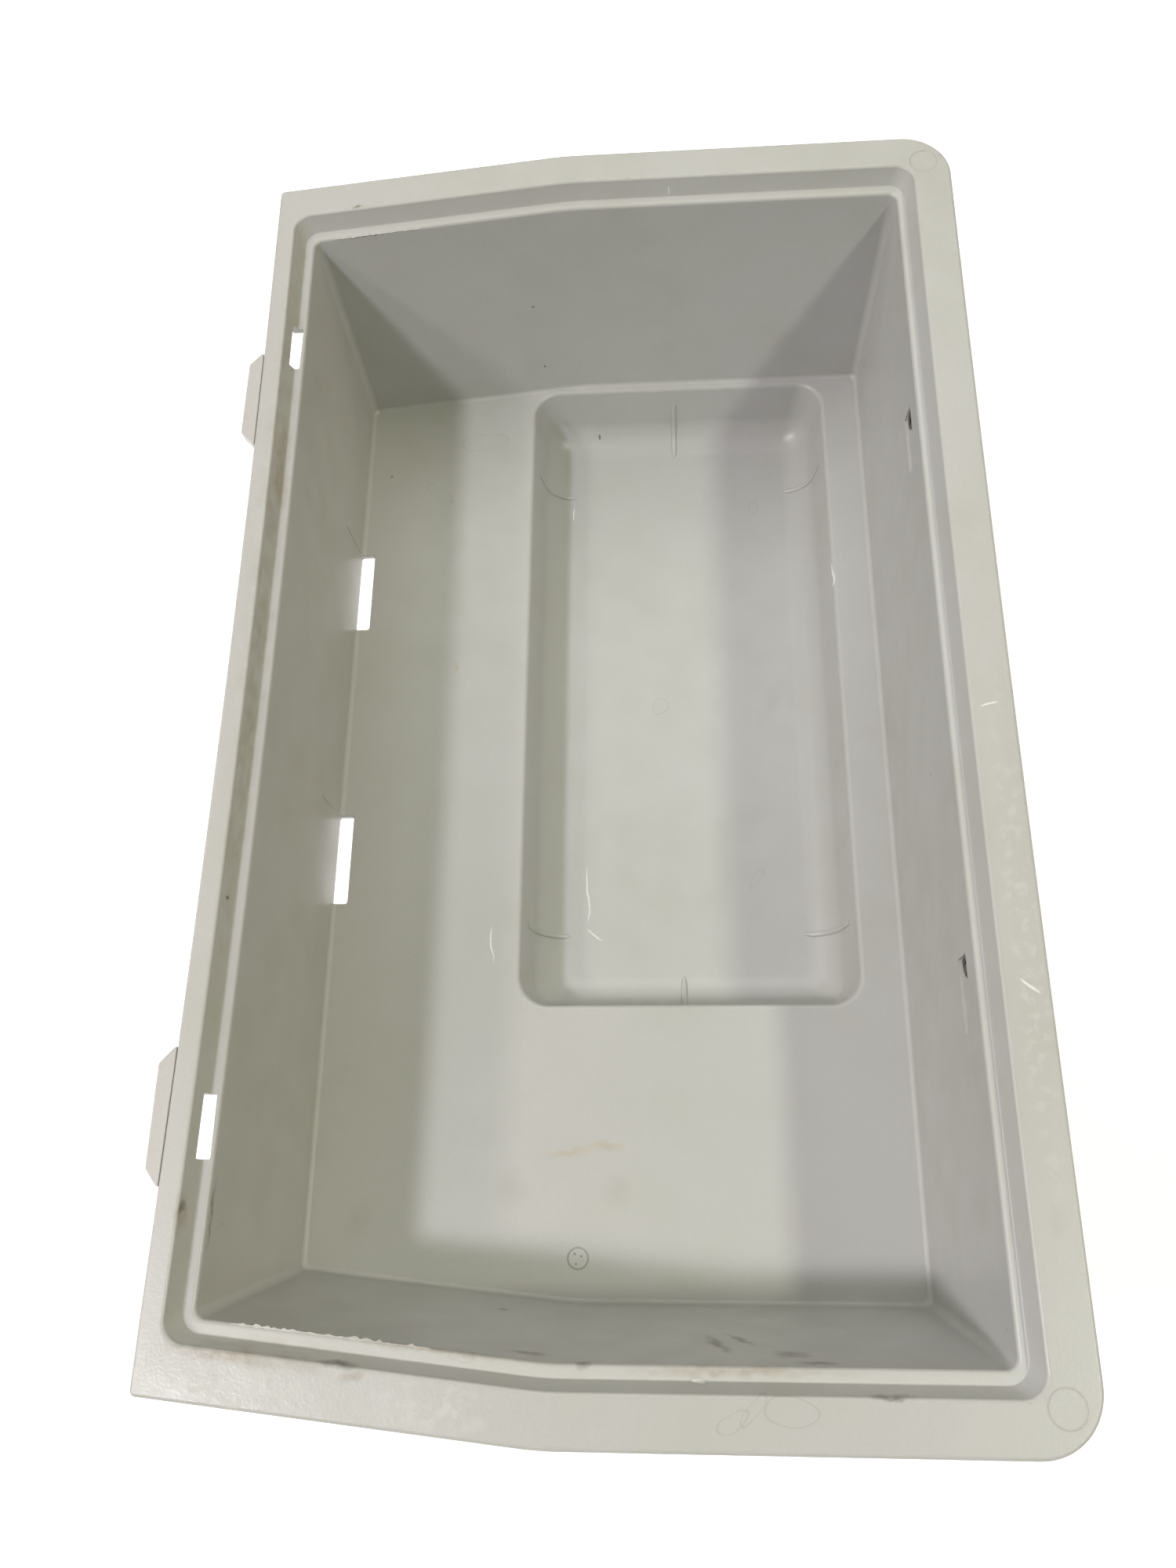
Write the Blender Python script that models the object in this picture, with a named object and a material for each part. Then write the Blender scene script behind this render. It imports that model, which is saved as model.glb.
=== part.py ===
"""Deep drop-in tray with a lid rebate, a recessed well and two edge catches.

The tray is one injection-moulded shell that hangs by its flange or stands on the underside of its
well. Each edge catch is its own moulding, set under the narrow left side of the flange.

Frame: metres, +Z up, X across the tray and Y along it. The origin is under the middle of the whole
object, level with the underside of the well, which is the lowest face.
"""

import math

import bmesh
import bpy
from mathutils import Vector

MM = 0.001

# Flange, seen from above. The wide side is at +X, the narrow catch side at -X.
LENGTH = 600 * MM
WIDTH = 345 * MM
RIM_RIGHT = 19 * MM
RIM_LEFT = 9.7 * MM
RIM_ENDS = 19.3 * MM
RIM_THICKNESS = 3 * MM
RIM_EDGE_RADIUS = 1.5 * MM
CORNER_RIGHT_RADIUS = 24 * MM
CORNER_LEFT_RADIUS = 2.5 * MM
# Both short ends turn in towards the catch side, from this place on.
END_BEND_X = -21 * MM
END_BEND_ANGLE = math.radians(5.8)
END_BEND_RADIUS = 150 * MM
# The long sides of the rim bow inwards; the basin floor is straight.
BOW_LEFT = 3 * MM
BOW_RIGHT = 1.3 * MM

# Rebate for the lid, and the ledge that carries it.
REBATE_DEPTH = 9 * MM
REBATE_DRAFT = 3 * MM
REBATE_RADIUS = 9 * MM
LEDGE_LEFT = 5 * MM
LEDGE_RIGHT = 4 * MM
LEDGE_ENDS = 5.4 * MM
NOSE_RADIUS = 1.8 * MM
NOSE_CORNER_RADIUS = 4.5 * MM

# Basin.
WALL = 3 * MM
BASIN_DEPTH = 129 * MM
LEAN_LEFT = 5 * MM
LEAN_RIGHT = 6 * MM
LEAN_ENDS = 16 * MM
FLOOR_FILLET = 2.5 * MM
FLOOR_CORNER_RADIUS = 4 * MM

# Well in the basin floor, placed from the right and far edges of that floor.
WELL_LENGTH = 370 * MM
WELL_WIDTH = 169 * MM
WELL_DEPTH = 38 * MM
WELL_FROM_RIGHT = 22.2 * MM
WELL_FROM_FAR = 5.3 * MM
WELL_DRAFT = math.radians(10)
WELL_LIP_RADIUS = 2.5 * MM
WELL_FILLET = 18 * MM
WELL_CORNER_RADIUS = 15 * MM

# Locating ribs on the wall of the well.
RIB_WIDTH = 3 * MM
RIB_HEIGHT = 1.2 * MM
RIB_TOP = 12 * MM
RIB_FROM_FAR = 49 * MM
RIB_FROM_NEAR = 44 * MM
RIB_FROM_LEFT = 82.5 * MM

# Slots at the foot of the left rebate wall.
LEDGE_SLOT_LENGTH = 25 * MM
LEDGE_SLOT_Y = 189.5 * MM
LEDGE_SLOT_ON_LEDGE = 3 * MM
LEDGE_SLOT_UP_WALL = 3.5 * MM
# Slots in the basin floor along the foot of the left wall.
FLOOR_SLOT_LENGTH = 48 * MM
FLOOR_SLOT_WIDTH = 7.5 * MM
FLOOR_SLOT_Y = (118 * MM, -42 * MM)
SLOT_RADIUS = 1.5 * MM
# Each floor slot runs up into a shallow recess of the wall.
RECESS_HEIGHT = 33 * MM
RECESS_SINK = 0.5 * MM
# Shallow latch pockets in the right wall, with softened upright corners.
POCKET_LENGTH = 31 * MM
POCKET_HEIGHT = 12 * MM
POCKET_BELOW_RIM = 21 * MM
POCKET_SINK = 1.5 * MM
POCKET_RADIUS = 0.75 * MM
POCKET_Y = 135 * MM

# Edge catches.
CATCH_Y = (154 * MM, -186 * MM)
CATCH_LENGTH = 53 * MM
CATCH_TIP_LENGTH = 40 * MM
CATCH_REACH = 5 * MM
CATCH_END = 0.8 * MM
CATCH_STEP = 0.9 * MM
CATCH_DEPTH = 7 * MM
FIT_GAP = 0.3 * MM

# How finely round shapes are cut, and from which angle on an edge is shaded crisp.
CORNER_STEPS = 6
BEND_STEPS = 2
SIDE_STEPS = 6
ARC_STEPS = 2
FILLET_STEPS = 4
SHARP_ANGLE = math.radians(30)

# Warm light grey polypropylene.
PLASTIC_COLOUR = (0.60, 0.59, 0.54)
PLASTIC_ROUGHNESS = 0.45

# Levels and sides that follow from the sizes above.
FLOOR_Z = WALL + WELL_DEPTH
TOP_Z = FLOOR_Z + BASIN_DEPTH
LEDGE_Z = TOP_Z - REBATE_DEPTH
X_RIGHT = (WIDTH + CATCH_REACH) / 2
X_LEFT = X_RIGHT - WIDTH
CUT_OVER = 1 * MM


def clear_scene():
    for obj in list(bpy.data.objects):
        bpy.data.objects.remove(obj, do_unlink=True)


def plastic(name, colour, roughness):
    material = bpy.data.materials.new(name)
    material.use_nodes = True
    shader = material.node_tree.nodes["Principled BSDF"]
    shader.inputs["Base Color"].default_value = (*colour, 1)
    shader.inputs["Roughness"].default_value = roughness
    shader.inputs["Metallic"].default_value = 0
    return material


def fillet(before, corner, after, radius, steps):
    """Points of an arc of this radius that rounds the corner between its two neighbours."""
    to_before = (before - corner).normalized()
    to_after = (after - corner).normalized()
    half = to_before.angle(to_after) / 2
    centre = corner + (to_before + to_after).normalized() * (radius / math.sin(half))
    start = corner + to_before * (radius / math.tan(half)) - centre
    turn = math.pi - 2 * half
    side = 1 if to_before.x * to_after.y - to_before.y * to_after.x < 0 else -1
    points = []
    for step in range(steps + 1):
        angle = side * turn * step / steps
        cosine, sine = math.cos(angle), math.sin(angle)
        points.append(centre + Vector((start.x * cosine - start.y * sine,
                                       start.x * sine + start.y * cosine)))
    return points


def rim_outline(left, right, ends, bow=1.0, radius_right=0.0, radius_left=0.0):
    """Closed outline of the tray, inset by these amounts from the edge of the flange.

    It runs anticlockwise from the near right corner, and always has the same number of points.
    """
    x_right, x_left = X_RIGHT - right, X_LEFT + left
    y_end = LENGTH / 2 - ends
    x_bend = END_BEND_X + ends * math.tan(END_BEND_ANGLE / 2)
    y_left = y_end - (x_bend - x_left) * math.tan(END_BEND_ANGLE)
    vertices = [Vector(v) for v in ((x_right, -y_end), (x_right, y_end), (x_bend, y_end),
                                    (x_left, y_left), (x_left, -y_left), (x_bend, -y_end))]
    radii = (radius_right, radius_right, END_BEND_RADIUS, radius_left, radius_left, END_BEND_RADIUS)
    steps = (CORNER_STEPS, CORNER_STEPS, BEND_STEPS, CORNER_STEPS, CORNER_STEPS, BEND_STEPS)
    points = []
    for i, vertex in enumerate(vertices):
        arc = fillet(vertices[i - 1], vertex, vertices[(i + 1) % 6], radii[i], steps[i])
        if i in (1, 4):
            start, end = points[-1], arc[0]
            points += [start.lerp(end, s / SIDE_STEPS) for s in range(1, SIDE_STEPS)]
        points += arc
    for point in points:
        side_bow = -BOW_RIGHT * point.x / x_right if point.x > 0 else BOW_LEFT * point.x / x_left
        point.x += bow * side_bow * bow_share(point.y)
    return points


def bow_share(y):
    """How much of its bow a long side has here: all of it at mid length, none at its corners."""
    return max(0.0, 1 - (y / (LENGTH / 2 - CORNER_RIGHT_RADIUS)) ** 2)


def box_outline(x_low, x_high, y_low, y_high, radius):
    """Rounded rectangle, anticlockwise."""
    corners = [Vector(v) for v in ((x_high, y_low), (x_high, y_high), (x_low, y_high), (x_low, y_low))]
    points = []
    for i, corner in enumerate(corners):
        points += fillet(corners[i - 1], corner, corners[(i + 1) % 4], radius, CORNER_STEPS)
    return points


def loft(name, rings):
    """Closed solid through flat outlines of equal length, given from the lowest to the highest."""
    return bridged(name, [[(p.x, p.y, z) for p in points] for points, z in rings])


def bridged(name, loops):
    """Closed solid between the first and the last of these loops of equally many points."""
    mesh = bmesh.new()
    rings = [[mesh.verts.new(point) for point in loop] for loop in loops]
    for low, high in zip(rings, rings[1:]):
        for i in range(len(low)):
            j = (i + 1) % len(low)
            mesh.faces.new((low[i], low[j], high[j], high[i]))
    mesh.faces.new(reversed(rings[0]))
    mesh.faces.new(rings[-1])
    bmesh.ops.recalc_face_normals(mesh, faces=mesh.faces)
    data = bpy.data.meshes.new(name)
    mesh.to_mesh(data)
    mesh.free()
    return link(name, data)


def link(name, data):
    obj = bpy.data.objects.new(name, data)
    bpy.context.collection.objects.link(obj)
    return obj


def side_insets(station):
    """Insets of the left side, right side and ends at a named place on the tray's section."""
    rebate = REBATE_DRAFT if station != "rim" else 0
    left, right, ends = RIM_LEFT + rebate, RIM_RIGHT + rebate, RIM_ENDS + rebate
    if station in ("nose", "floor"):
        left, right, ends = left + LEDGE_LEFT, right + LEDGE_RIGHT, ends + LEDGE_ENDS
    if station == "floor":
        left, right, ends = left + LEAN_LEFT, right + LEAN_RIGHT, ends + LEAN_ENDS
    return left, right, ends


def tray_ring(station, z, shift=0.0, radius=0.0, bow=1.0):
    """Outline at a station of the section, moved inwards by shift, at height z."""
    left, right, ends = (inset + shift for inset in side_insets(station))
    return rim_outline(left, right, ends, bow, radius, radius), z


def flange_ring(z, inset):
    outline = rim_outline(inset, inset, inset, 1.0, CORNER_RIGHT_RADIUS - inset,
                          CORNER_LEFT_RADIUS - min(inset, CORNER_LEFT_RADIUS / 2))
    return outline, z


def arc_steps(radius, count):
    """Pairs (sideways, down) along a quarter circle that leaves flat and ends upright."""
    for step in range(count + 1):
        angle = math.pi / 2 * step / count
        yield radius * math.sin(angle), radius * (1 - math.cos(angle))


def shell_rings():
    """The section of the shell, from the underside of the floor, over the rim, to the inside floor."""
    under = [
        tray_ring("floor", FLOOR_Z - WALL, -WALL + FLOOR_FILLET, FLOOR_CORNER_RADIUS, 0),
        tray_ring("floor", FLOOR_Z - WALL + FLOOR_FILLET, -WALL, FLOOR_CORNER_RADIUS + WALL, 0),
        tray_ring("nose", LEDGE_Z - WALL, -WALL, NOSE_CORNER_RADIUS + WALL),
        tray_ring("foot", LEDGE_Z - WALL, -WALL, REBATE_RADIUS + WALL),
        tray_ring("rim", TOP_Z - RIM_THICKNESS, -WALL, REBATE_RADIUS + WALL),
        flange_ring(TOP_Z - RIM_THICKNESS, 0),
    ]
    over = []
    for sideways, down in reversed(list(arc_steps(RIM_EDGE_RADIUS, ARC_STEPS))):
        over.append(flange_ring(TOP_Z - down, RIM_EDGE_RADIUS - sideways))
    for sideways, down in arc_steps(RIM_EDGE_RADIUS, ARC_STEPS):
        over.append(tray_ring("rim", TOP_Z - down, sideways - RIM_EDGE_RADIUS, REBATE_RADIUS))
    over.append(tray_ring("foot", LEDGE_Z, 0, REBATE_RADIUS))
    for sideways, down in arc_steps(NOSE_RADIUS, ARC_STEPS):
        over.append(tray_ring("nose", LEDGE_Z - down, sideways - NOSE_RADIUS, NOSE_CORNER_RADIUS))
    for sideways, down in reversed(list(arc_steps(FLOOR_FILLET, ARC_STEPS))):
        over.append(tray_ring("floor", FLOOR_Z + down, FLOOR_FILLET - sideways, FLOOR_CORNER_RADIUS, 0))
    return under + over


def well_place():
    """Low and high corner of the well's mouth."""
    left, right, ends = side_insets("floor")
    x_high = X_RIGHT - right - WELL_FROM_RIGHT
    y_high = LENGTH / 2 - ends - WELL_FROM_FAR
    return (x_high - WELL_WIDTH, y_high - WELL_LENGTH), (x_high, y_high)


def well_profile():
    """Pairs (inset, depth) down the wall of the well, from under its lip to its flat floor."""
    foot = WELL_DEPTH * math.tan(WELL_DRAFT)
    sweep = math.pi / 2 - WELL_DRAFT
    tangent = WELL_FILLET * math.tan(sweep / 2)
    yield 0.0, 0.0
    for step in range(FILLET_STEPS + 1):
        angle = sweep * (1 - step / FILLET_STEPS)
        inset = foot + tangent - WELL_FILLET * math.sin(angle)
        yield inset, WELL_DEPTH - WELL_FILLET * (1 - math.cos(angle))


def well_ring(inset, z, radius):
    (x_low, y_low), (x_high, y_high) = well_place()
    return box_outline(x_low + inset, x_high - inset, y_low + inset, y_high - inset, radius), z


def well_radius(inset):
    return max(WELL_CORNER_RADIUS - inset / 2, WELL_CORNER_RADIUS / 2)


def well_cavity():
    """What the well takes out of the floor, flared where its lip is rounded."""
    rings = []
    for inset, depth in well_profile():
        if depth > WELL_LIP_RADIUS:
            rings.append(well_ring(inset, FLOOR_Z - depth, well_radius(inset)))
    rings.reverse()
    for sideways, down in reversed(list(arc_steps(WELL_LIP_RADIUS, ARC_STEPS))):
        inset = sideways - WELL_LIP_RADIUS
        rings.append(well_ring(inset, FLOOR_Z - down, well_radius(inset)))
    rings.append(well_ring(-WELL_LIP_RADIUS, FLOOR_Z + CUT_OVER, well_radius(-WELL_LIP_RADIUS)))
    return loft("cut_well", rings)


def well_casing():
    """The outside of the well, whose top lies inside the floor's thickness."""
    rings = []
    for inset, depth in well_profile():
        if depth > WALL:
            rings.append(well_ring(inset - WALL, FLOOR_Z - WALL - depth, well_radius(inset) + WALL))
    rings.reverse()
    rings.append(well_ring(-WALL, FLOOR_Z - WALL / 2, WELL_CORNER_RADIUS + WALL))
    return loft("join_well", rings)


def rib_section():
    """Flat outline (inset, depth) of a rib that follows the wall and fillet of the well."""
    face = [(RIB_TOP * math.tan(WELL_DRAFT), RIB_TOP)]
    face += [point for point in well_profile() if point[1] > RIB_TOP]
    proud = []
    for i, (inset, depth) in enumerate(face):
        turn = math.pi / 2 * i / (len(face) - 1)
        proud.append((inset + RIB_HEIGHT * math.cos(turn), depth - RIB_HEIGHT * math.sin(turn)))
    buried = [(inset - RIB_HEIGHT, depth + RIB_HEIGHT) for inset, depth in reversed(face)]
    return proud + buried


def well_ribs():
    """Two ribs on each long wall of the well and one near the middle of each short wall."""
    (x_low, y_low), (x_high, y_high) = well_place()
    places = [((x_low + RIB_FROM_LEFT, y_high), (0, -1)), ((x_low + RIB_FROM_LEFT, y_low), (0, 1))]
    for y in (y_high - RIB_FROM_FAR, y_low + RIB_FROM_NEAR):
        places += [((x_low, y), (1, 0)), ((x_high, y), (-1, 0))]
    for i, ((x, y), (inward_x, inward_y)) in enumerate(places):
        loops = []
        for half in (-RIB_WIDTH / 2, RIB_WIDTH / 2):
            loops.append([(x + inward_x * inset - inward_y * half, y + inward_y * inset + inward_x * half,
                           FLOOR_Z - depth) for inset, depth in rib_section()])
        yield bridged(f"join_rib_{i}", loops)


def left_face_x(inset, y):
    """Where the bowed left side lies at this Y, this far in from the edge of the flange."""
    return X_LEFT + inset + BOW_LEFT * bow_share(y)


def ledge_slot_cutters():
    """Slots through the foot of the rebate wall and the strip of ledge beside it."""
    for i, y in enumerate((LEDGE_SLOT_Y, -LEDGE_SLOT_Y)):
        foot_x = left_face_x(RIM_LEFT + REBATE_DRAFT, y)
        outline = box_outline(foot_x - WALL - REBATE_DRAFT - CUT_OVER, foot_x + LEDGE_SLOT_ON_LEDGE,
                              y - LEDGE_SLOT_LENGTH / 2, y + LEDGE_SLOT_LENGTH / 2, SLOT_RADIUS)
        yield loft(f"cut_ledge_slot_{i}", [(outline, LEDGE_Z - WALL - CUT_OVER),
                                           (outline, LEDGE_Z + LEDGE_SLOT_UP_WALL)])


def left_wall_x(z, y):
    """Where the left wall of the basin lies at this height, its bow fading out towards the floor."""
    left, _, _ = side_insets("floor")
    share = (z - FLOOR_Z) / (LEDGE_Z - FLOOR_Z)
    return X_LEFT + left + (BOW_LEFT * bow_share(y) - LEAN_LEFT) * share


def floor_slot_cutters():
    """Slots through the floor at the foot of the left wall, each with its recess in that wall."""
    for i, y in enumerate(FLOOR_SLOT_Y):
        rings = []
        for z in (FLOOR_Z - WALL - CUT_OVER, FLOOR_Z + FLOOR_FILLET, FLOOR_Z + RECESS_HEIGHT):
            wall_x = left_wall_x(max(z, FLOOR_Z), y)
            reach = FLOOR_SLOT_WIDTH if z < FLOOR_Z + RECESS_HEIGHT else SLOT_RADIUS
            rings.append((box_outline(wall_x - RECESS_SINK, wall_x + reach, y - FLOOR_SLOT_LENGTH / 2,
                                      y + FLOOR_SLOT_LENGTH / 2, SLOT_RADIUS / 2), z))
        yield loft(f"cut_floor_slot_{i}", rings)


def pocket_cutters():
    """Shallow pockets whose back is POCKET_SINK behind the leaning right wall."""
    top_z, low_z = TOP_Z - POCKET_BELOW_RIM, TOP_Z - POCKET_BELOW_RIM - POCKET_HEIGHT
    nose_x, floor_x = (X_RIGHT - side_insets(name)[1] for name in ("nose", "floor"))
    for i, y in enumerate((POCKET_Y, -POCKET_Y)):
        bow = BOW_RIGHT * bow_share(y)
        rings = []
        for z in (low_z, top_z):
            share = (z - FLOOR_Z) / (LEDGE_Z - FLOOR_Z)
            wall_x = floor_x + (nose_x - bow - floor_x) * share
            rings.append((box_outline(wall_x - CUT_OVER, wall_x + POCKET_SINK,
                                      y - POCKET_LENGTH / 2, y + POCKET_LENGTH / 2, POCKET_RADIUS), z))
        yield loft(f"cut_pocket_{i}", rings)


def apply_boolean(obj, other, operation):
    modifier = obj.modifiers.new(other.name, "BOOLEAN")
    modifier.object = other
    modifier.operation = operation
    modifier.solver = "EXACT"
    other.hide_render = True
    other.display_type = "WIRE"


def smooth(obj):
    obj.data.shade_smooth()
    obj.data.set_sharp_from_angle(angle=SHARP_ANGLE)


def make_tray(material):
    tray = loft("tray_moulding", shell_rings())
    tray.data.materials.append(material)
    apply_boolean(tray, well_casing(), "UNION")
    apply_boolean(tray, well_cavity(), "DIFFERENCE")
    for rib in well_ribs():
        apply_boolean(tray, rib, "UNION")
    for cutter in (*ledge_slot_cutters(), *floor_slot_cutters(), *pocket_cutters()):
        apply_boolean(tray, cutter, "DIFFERENCE")
    smooth(tray)


def make_catch(name, y_middle, material):
    """A catch: a root under the flange and a tongue with sloping ends that stands out of its edge."""
    z_top, z_low = TOP_Z - CATCH_STEP, TOP_Z - CATCH_DEPTH
    z_under = TOP_Z - RIM_THICKNESS - FIT_GAP
    loops = []
    for along in (-CATCH_LENGTH / 2, -CATCH_TIP_LENGTH / 2, 0, CATCH_TIP_LENGTH / 2, CATCH_LENGTH / 2):
        y = y_middle + along
        edge_x = left_face_x(-FIT_GAP, y)
        tip_x = X_LEFT - CATCH_REACH if abs(along) < CATCH_LENGTH / 2 else edge_x - CATCH_END
        root_x = left_face_x(RIM_LEFT - WALL - FIT_GAP, y)
        loops.append([(tip_x, y, z_low), (root_x, y, z_low), (root_x, y, z_under),
                      (edge_x, y, z_under), (edge_x, y, z_top), (tip_x, y, z_top)])
    catch = bridged(name, loops)
    catch.data.materials.append(material)


clear_scene()
grey_plastic = plastic("grey moulded plastic", PLASTIC_COLOUR, PLASTIC_ROUGHNESS)
make_tray(grey_plastic)
for catch_name, catch_y in zip(("edge_catch_far", "edge_catch_near"), CATCH_Y):
    make_catch(catch_name, catch_y, grey_plastic)
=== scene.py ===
"""Looks for the deep drop-in tray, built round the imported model.

The moulding and its two edge catches are made again here with fine fillets, soft lips, rounded ribs
and moulding marks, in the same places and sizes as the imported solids. Metres, +Z up.
"""

import math
import random

import bmesh
import bpy
from mathutils import Euler, Matrix, Vector


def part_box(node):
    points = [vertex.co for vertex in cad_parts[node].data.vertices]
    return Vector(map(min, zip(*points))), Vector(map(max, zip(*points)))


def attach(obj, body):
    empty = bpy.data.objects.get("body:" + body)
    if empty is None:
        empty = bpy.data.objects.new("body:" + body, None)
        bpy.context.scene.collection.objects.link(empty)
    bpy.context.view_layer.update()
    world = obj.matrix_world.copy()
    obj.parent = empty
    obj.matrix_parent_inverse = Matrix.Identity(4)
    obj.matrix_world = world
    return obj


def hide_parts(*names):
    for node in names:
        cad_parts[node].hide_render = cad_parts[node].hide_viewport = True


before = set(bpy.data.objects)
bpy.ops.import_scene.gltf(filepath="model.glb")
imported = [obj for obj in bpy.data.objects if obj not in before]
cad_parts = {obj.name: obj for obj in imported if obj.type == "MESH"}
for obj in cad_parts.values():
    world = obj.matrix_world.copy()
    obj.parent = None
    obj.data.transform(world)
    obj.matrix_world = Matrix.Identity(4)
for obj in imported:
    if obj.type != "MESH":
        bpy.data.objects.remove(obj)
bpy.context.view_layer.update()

MM = 0.001

# The outside of the moulding comes from the frame.
TRAY_LOW, TRAY_HIGH = (Vector(corner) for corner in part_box("tray_moulding"))
X_LEFT, X_RIGHT = TRAY_LOW.x, TRAY_HIGH.x
TOP_Z = TRAY_HIGH.z
HALF_LENGTH = TRAY_HIGH.y

# Flange.
RIM_RIGHT = 19 * MM
RIM_LEFT = 9.7 * MM
RIM_ENDS = 19.3 * MM
RIM_THICKNESS = 3 * MM
RIM_EDGE_RADIUS = 1.5 * MM
RIM_UNDER_RADIUS = 0.4 * MM
CORNER_RIGHT_RADIUS = 24 * MM
CORNER_LEFT_RADIUS = 2.5 * MM
END_BEND_X = -21 * MM
END_BEND_ANGLE = math.radians(5.8)
END_BEND_RADIUS = 150 * MM
BOW_LEFT = 3 * MM
BOW_RIGHT = 1.3 * MM

# Rebate and ledge.
REBATE_DEPTH = 9 * MM
REBATE_DRAFT = 3 * MM
REBATE_RADIUS = 9 * MM
REBATE_FILLET = 0.8 * MM
LEDGE_LEFT = 5 * MM
LEDGE_RIGHT = 4 * MM
LEDGE_ENDS = 5.4 * MM
NOSE_RADIUS = 1.8 * MM
NOSE_CORNER_RADIUS = 4.5 * MM

# Basin.
WALL = 3 * MM
BASIN_DEPTH = 129 * MM
LEAN_LEFT = 5 * MM
LEAN_RIGHT = 6 * MM
LEAN_ENDS = 16 * MM
FLOOR_FILLET = 2.5 * MM
FLOOR_CORNER_RADIUS = 4 * MM

# Well.
WELL_LENGTH = 370 * MM
WELL_WIDTH = 169 * MM
WELL_DEPTH = 38 * MM
WELL_FROM_RIGHT = 22.2 * MM
WELL_FROM_FAR = 5.3 * MM
WELL_DRAFT = math.radians(10)
WELL_LIP_RADIUS = 2.5 * MM
WELL_FILLET = 18 * MM
WELL_CORNER_RADIUS = 15 * MM

# Ribs in the well.
RIB_WIDTH = 3 * MM
RIB_HEIGHT = 1.2 * MM
RIB_TOP = 12 * MM
RIB_FROM_FAR = 49 * MM
RIB_FROM_NEAR = 44 * MM
RIB_FROM_LEFT = 82.5 * MM
RIB_FADE_SECTIONS = 2.4
RIB_TAIL_SECTIONS = 2

# Slots and pockets.
LEDGE_SLOT_LENGTH = 25 * MM
LEDGE_SLOT_Y = 189.5 * MM
LEDGE_SLOT_ON_LEDGE = 3 * MM
LEDGE_SLOT_UP_WALL = 3.5 * MM
FLOOR_SLOT_LENGTH = 48 * MM
FLOOR_SLOT_WIDTH = 7.5 * MM
FLOOR_SLOT_Y = (118 * MM, -42 * MM)
SLOT_RADIUS = 1.5 * MM
SLOT_LIP = 0.5 * MM
RECESS_HEIGHT = 33 * MM
RECESS_SINK = 0.5 * MM
POCKET_LENGTH = 31 * MM
POCKET_HEIGHT = 12 * MM
POCKET_BELOW_RIM = 21 * MM
POCKET_SINK = 1.5 * MM
POCKET_Y = 135 * MM
POCKET_END_Y = (144.7 * MM, -122.5 * MM)
POCKET_END_LENGTH = (7.9 * MM, 3.5 * MM)
POCKET_END_HEIGHT = 10 * MM
POCKET_END_SINK = 2.3 * MM

# Edge catches.
CATCH_Y = (154 * MM, -186 * MM)
CATCH_LENGTH = 53 * MM
CATCH_TIP_LENGTH = 40 * MM
CATCH_REACH = 5 * MM
CATCH_END = 0.8 * MM
CATCH_STEP = 0.9 * MM
CATCH_DEPTH = 7 * MM
CATCH_EDGE = 0.6 * MM
FIT_GAP = 0.3 * MM

# Marks that the mould leaves.
EJECTOR_RADIUS = 6.6 * MM
EJECTOR_SINK = 0.15 * MM
EJECTOR_FROM_RIGHT = 13.2 * MM
EJECTOR_FROM_END = 16.4 * MM
GATE_RADIUS = 4.7 * MM
GATE_SINK = 0.25 * MM
GATE_WIDTH = 0.5 * MM
GATE_PLACE = (-17.5 * MM, -237 * MM)

# Colours: the plastic new, aged and rubbed white, what lies on it, and painted shade for the folds and the
# deep ends of the pockets.
GREY = "BBBBBA"
GREY_CATCH = "C0BDBD"
AGED = "B3B3AD"
WHITENED = "D2D1CE"
SCRATCHED = "EDEDEB"
GRIME_AND_FOLD_SHADE = "857F6E"
OCHRE = "B0935A"
BROWN = "8A745A"
SOIL = "4E4335"
SHADE_BLACK = "14120F"

# Sizes of the patterns in the plastic, of the dirt on it, and of the painted shade in its folds.
CLOUD_SIZE = 90 * MM
BLOTCH_SIZE = 22 * MM
GRAIN_SIZE = 1.1 * MM
GRAIN_HEIGHT = 0.05 * MM
DENT_HEIGHT = 0.25 * MM
BANDED_NOISE_SIZE = 11 * MM
FOLD_REACH = 7 * MM
WAVER_SIZE = 14 * MM
WAVER_REACH = 6 * MM
TATTER_SIZE = 5 * MM
TATTER_REACH = 5 * MM
SPECK_SPACING = 30 * MM
SPECK_RADIUS = 0.6 * MM
SPECK_RARITY = 0.8
SPECK_SOFTNESS = 0.02

# How the plastic bends and spreads light: waxiest, most matt, and how much wear and dirt add.
POLYPROPYLENE_IOR = 1.49
WAXY_ROUGHNESS = 0.30
MATT_ROUGHNESS = 0.40
WORN_ROUGHENING = 0.2

# Marks of use, each ((X, Y, height over the basin floor), half sizes, turns in degrees), in mm.
# The well's floor is at -38, the top of the end walls at 117, the ledge at 120, the flange at 129.
# A patchy brown tint along the left rebate and the left part of the near rebate.
REBATE_TINT = (
    ((-158, 60, 123), (9, 240, 9), (0, 0, 0)),
    ((-120, -271, 124), (48, 7, 9), (0, 0, -5.8)),
)
GATE_RING = ((-17.5, -237, 0), (4.7, 4.7, 30), (0, 0, 0))
EJECTOR_RINGS = (
    ((161.8, -283.6, 129), (6.6, 6.6, 30), (0, 0, 0)),
    ((161.8, 283.6, 129), (6.6, 6.6, 30), (0, 0, 0)),
)
OCHRE_STAINS = (
    ((-22, -190, 0), (13, 3, 3), (0, 0, 8)),
    ((-5, -187, 0), (11, 3.5, 3), (0, 0, -5)),
    ((-89, 69.5, 0), (1.6, 4, 3), (0, 0, 0)),
)
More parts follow.
